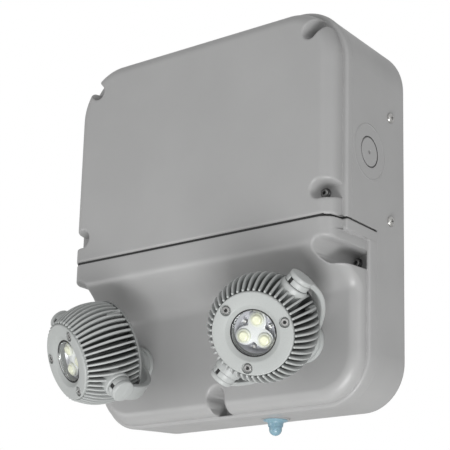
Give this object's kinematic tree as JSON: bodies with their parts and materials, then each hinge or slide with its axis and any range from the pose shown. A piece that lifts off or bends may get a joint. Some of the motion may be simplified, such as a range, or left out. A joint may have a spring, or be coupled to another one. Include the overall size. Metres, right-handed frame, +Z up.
{
  "type": "emergency light",
  "caption": "Wall-mounted grey emergency light with a deep moulded housing, finned adjustable LED lamp heads on yokes, and a blue test button underneath.",
  "frame": {"origin": "middle of the housing's back face, on the wall", "axes": "+X to the right seen from the front, +Y into the wall, +Z up; the front faces -Y"},
  "size_m": [0.3112, 0.1762, 0.3634],
  "materials": {
    "housing": "semi-matte moulded grey plastic",
    "lamp": "die-cast, fine satin grey coat",
    "lamp_face": "die-cast, fine speckled satin coat",
    "screw": "plain steel",
    "dark_screw": "blackened steel",
    "gasket": "black rubber",
    "chassis": "galvanised sheet",
    "battery": "sealed battery case",
    "board": "coated circuit board",
    "transformer": "varnished core",
    "terminal": "off-white plastic",
    "switch": "black plastic",
    "button": "translucent blue",
    "brass": "plain brass",
    "lens": "clear window",
    "led_board": "white circuit board",
    "led": "pale yellow domes"
  },
  "bodies": {
    "housing": {"back_box": "housing", "upper_cover": "housing", "lower_cover": "housing", "upper_gasket": "gasket", "lower_gasket": "gasket", "upper_cover_screws": "dark_screw", "lower_cover_screws": "dark_screw", "side_screws": "screw", "chassis_plate": "chassis", "battery": "battery", "battery_strap": "chassis", "strap_screws": "screw", "board_standoffs": "brass", "driver_board": "board", "board_screws": "screw", "transformer": "transformer", "terminal_block": "terminal", "button_collar": "button", "switch_nut": "brass", "test_switch": "switch"},
    "test_button": {"test_button": "button"},
    "left_yoke": {"left_swivel_post": "lamp", "left_swivel_washer": "screw", "left_swivel_nut": "brass", "left_yoke": "lamp"},
    "left_head": {"left_pivot_pins": "screw", "left_head_body": "lamp", "left_rear_cap": "lamp", "left_face_plate": "lamp_face", "left_face_screws": "screw", "left_lens": "lens", "left_lens_seal": "gasket", "left_led_board": "led_board", "left_led_optics": "led"},
    "right_yoke": {"right_swivel_post": "lamp", "right_swivel_washer": "screw", "right_swivel_nut": "brass", "right_yoke": "lamp"},
    "right_head": {"right_pivot_pins": "screw", "right_head_body": "lamp", "right_rear_cap": "lamp", "right_face_plate": "lamp_face", "right_face_screws": "screw", "right_lens": "lens", "right_lens_seal": "gasket", "right_led_board": "led_board", "right_led_optics": "led"}
  },
  "joints": [
    {"name": "test_button", "type": "slide", "parent": "housing", "child": "test_button", "axis": [0, 0, 1], "range_m": [0, 0.0025], "stiffness_N_per_m": 400},
    {"name": "left_pan", "type": "hinge", "parent": "housing", "child": "left_yoke", "pos_m": [-0.0973, -0.076, -0.1187], "axis": [0, -1, 0], "range_deg": [-123, 207]},
    {"name": "left_tilt", "type": "hinge", "parent": "left_yoke", "child": "left_head", "pos_m": [-0.0973, -0.1363, -0.1187], "axis": [0.7431, 0, -0.6691], "range_deg": [-120.5, 59.5]},
    {"name": "right_pan", "type": "hinge", "parent": "housing", "child": "right_yoke", "pos_m": [0.0973, -0.076, -0.1187], "axis": [0, -1, 0], "range_deg": [-207, 123]},
    {"name": "right_tilt", "type": "hinge", "parent": "right_yoke", "child": "right_head", "pos_m": [0.0973, -0.1363, -0.1187], "axis": [0.7431, 0, 0.6691], "range_deg": [-120.5, 59.5]}
  ]
}
